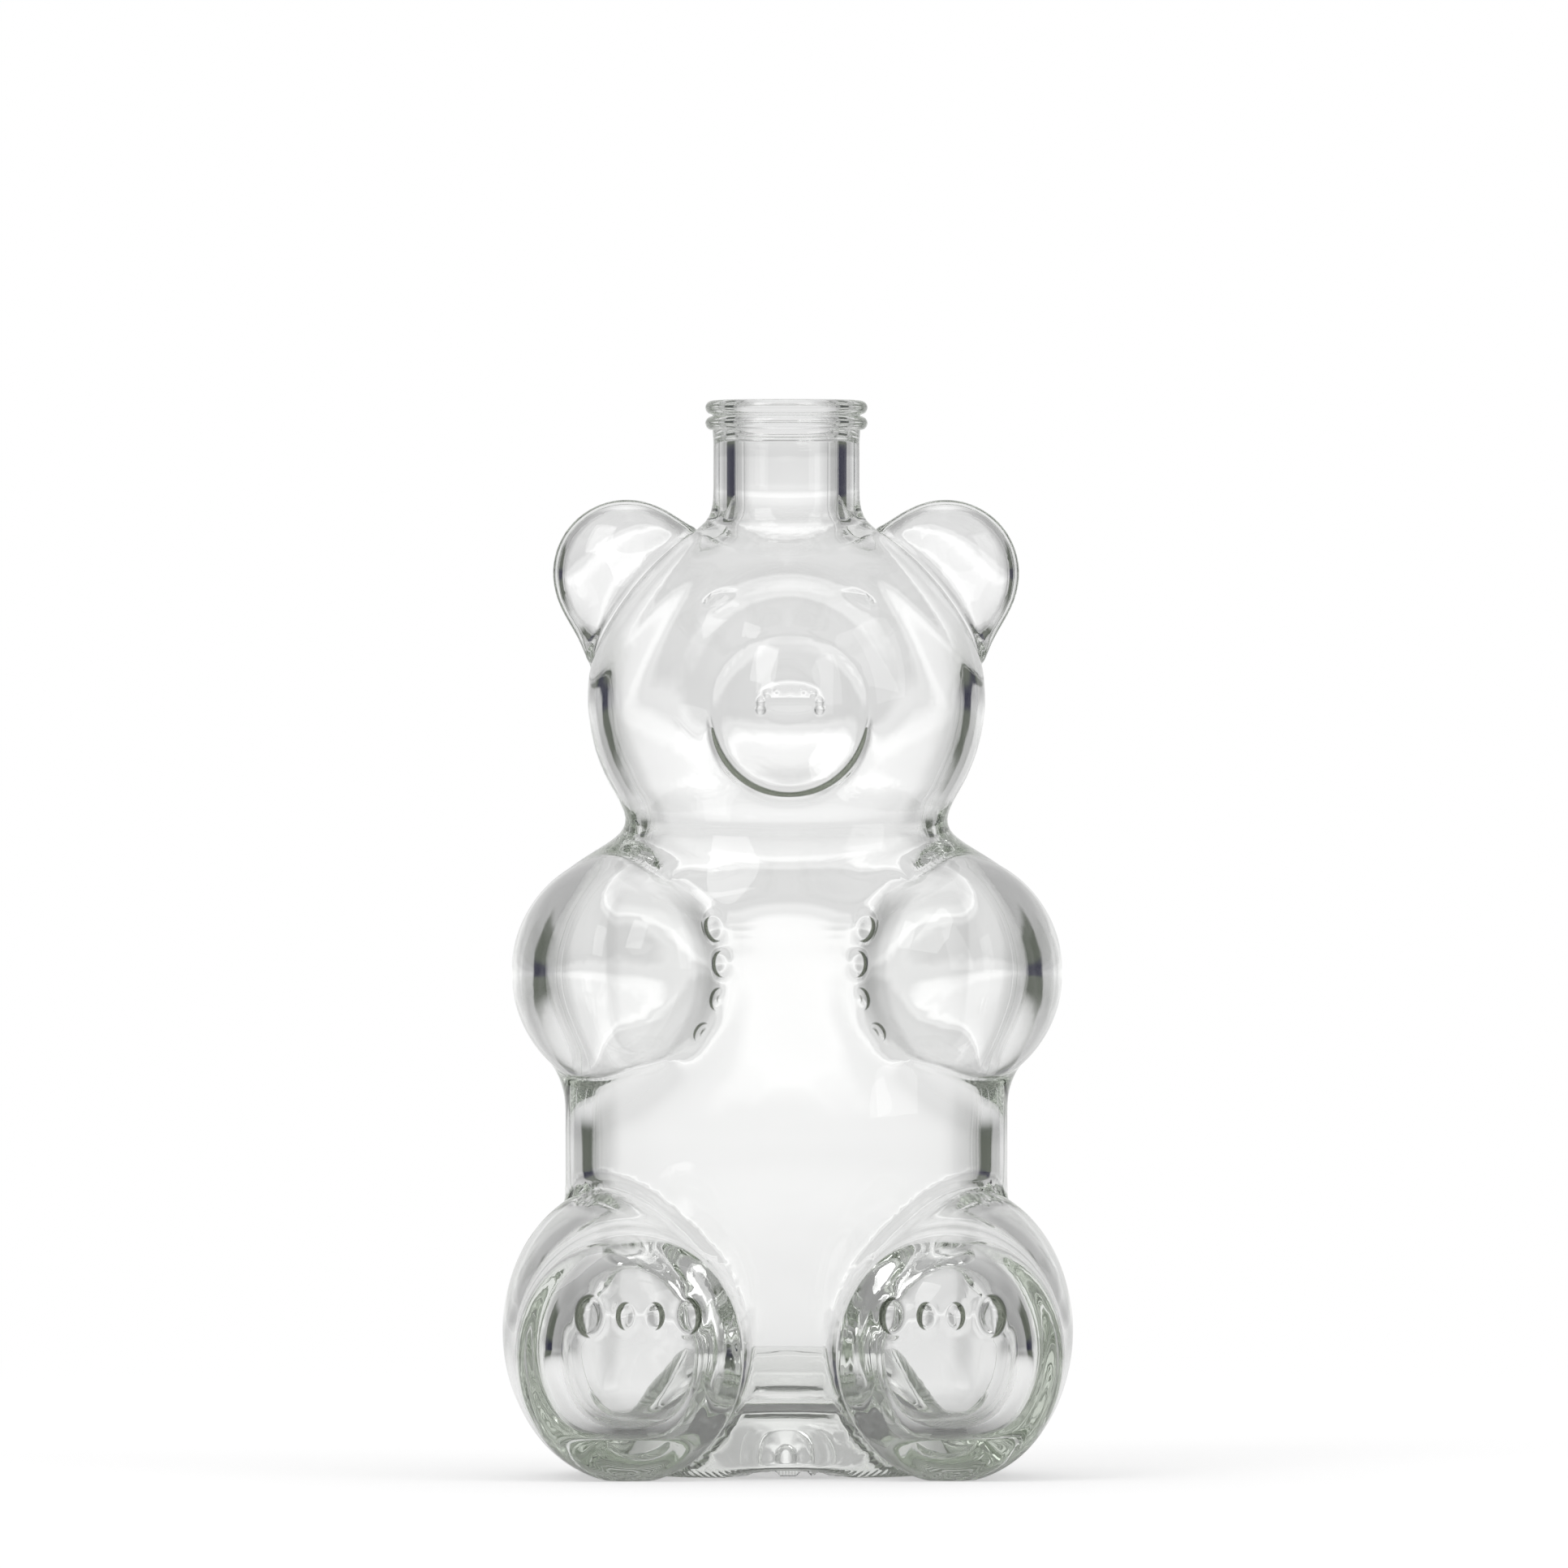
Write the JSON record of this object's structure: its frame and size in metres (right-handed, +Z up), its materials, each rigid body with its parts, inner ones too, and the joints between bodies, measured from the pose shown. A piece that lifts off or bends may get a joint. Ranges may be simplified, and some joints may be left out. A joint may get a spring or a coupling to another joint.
{
  "type": "bear-shaped glass bottle",
  "caption": "Clear glass bottle shaped as a sitting bear, with a short neck and a beaded cork mouth, that holds and pours liquids",
  "frame": {"origin": "middle of the bottle's bounding box, on the plane of the bearing surface it stands on", "axes": "+Z up along the neck, -Y the way the bear looks, +X the bear's left hand"},
  "size_m": [0.084, 0.063, 0.1585],
  "materials": {
    "clear_glass": "clear, fire-polished, with a faint green tint in thick places"
  },
  "bodies": {
    "root": {"glass_bottle": "clear_glass"}
  },
  "joints": []
}
